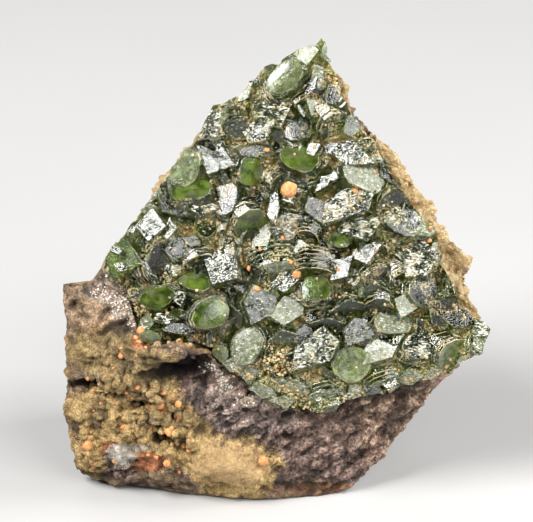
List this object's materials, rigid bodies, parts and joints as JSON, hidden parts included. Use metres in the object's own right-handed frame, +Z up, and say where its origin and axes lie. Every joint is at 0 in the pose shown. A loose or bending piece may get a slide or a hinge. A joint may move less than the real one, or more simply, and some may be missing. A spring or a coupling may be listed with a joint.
{
  "type": "ludlamite on matrix mineral specimen",
  "caption": "Brown broken rock with a leaning face crusted by intergrown dark green plate-shaped crystals and a few round orange grains.",
  "frame": {"origin": "centre of the bounding box, at the flat underside that the rock stands on", "axes": "+Z up, +Y towards the back of the rock, away from the crystals, +X to the right of someone who faces the crystals"},
  "size_m": [0.0598, 0.0333, 0.0626],
  "materials": {
    "matrix_rock": "rough, earthy, broken limonitic rock",
    "ludlamite": "clear dark green crystal with a glassy lustre",
    "iron_oxide": "matt, earthy orange"
  },
  "bodies": {
    "root": {"matrix": "matrix_rock", "ludlamite_crust": "ludlamite", "orange_grain_1": "iron_oxide", "orange_grain_2": "iron_oxide", "orange_grain_3": "iron_oxide", "orange_grain_4": "iron_oxide", "orange_grain_5": "iron_oxide", "orange_grain_6": "iron_oxide", "orange_grain_7": "iron_oxide"}
  },
  "joints": []
}
